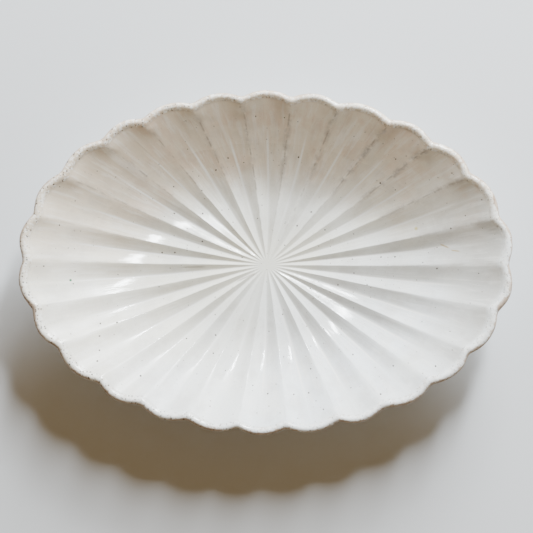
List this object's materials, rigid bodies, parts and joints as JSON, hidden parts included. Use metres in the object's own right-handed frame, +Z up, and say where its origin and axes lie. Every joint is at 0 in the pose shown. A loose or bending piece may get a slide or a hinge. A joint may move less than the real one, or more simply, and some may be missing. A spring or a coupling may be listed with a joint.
{
  "type": "serving platter",
  "caption": "Oval scalloped serving platter with a fluted sloping wall, a rounded rim and an oval foot ring, white glaze over brown clay.",
  "frame": {"origin": "centre of the foot ring's resting plane", "axes": "+X along the platter's long axis, +Y across it, +Z up out of the well"},
  "size_m": [0.4204, 0.2934, 0.06],
  "materials": {
    "clay": "bare fired brown clay, matt, slightly gritty",
    "glaze": "milky white glossy glaze with pinholes, thin and brownish over sharp ridges"
  },
  "bodies": {
    "root": {"clay_shell": "clay", "rim_roll": "clay", "foot_ring": "clay", "well_glaze": "glaze", "outside_glaze": "glaze", "base_glaze": "glaze"}
  },
  "joints": []
}
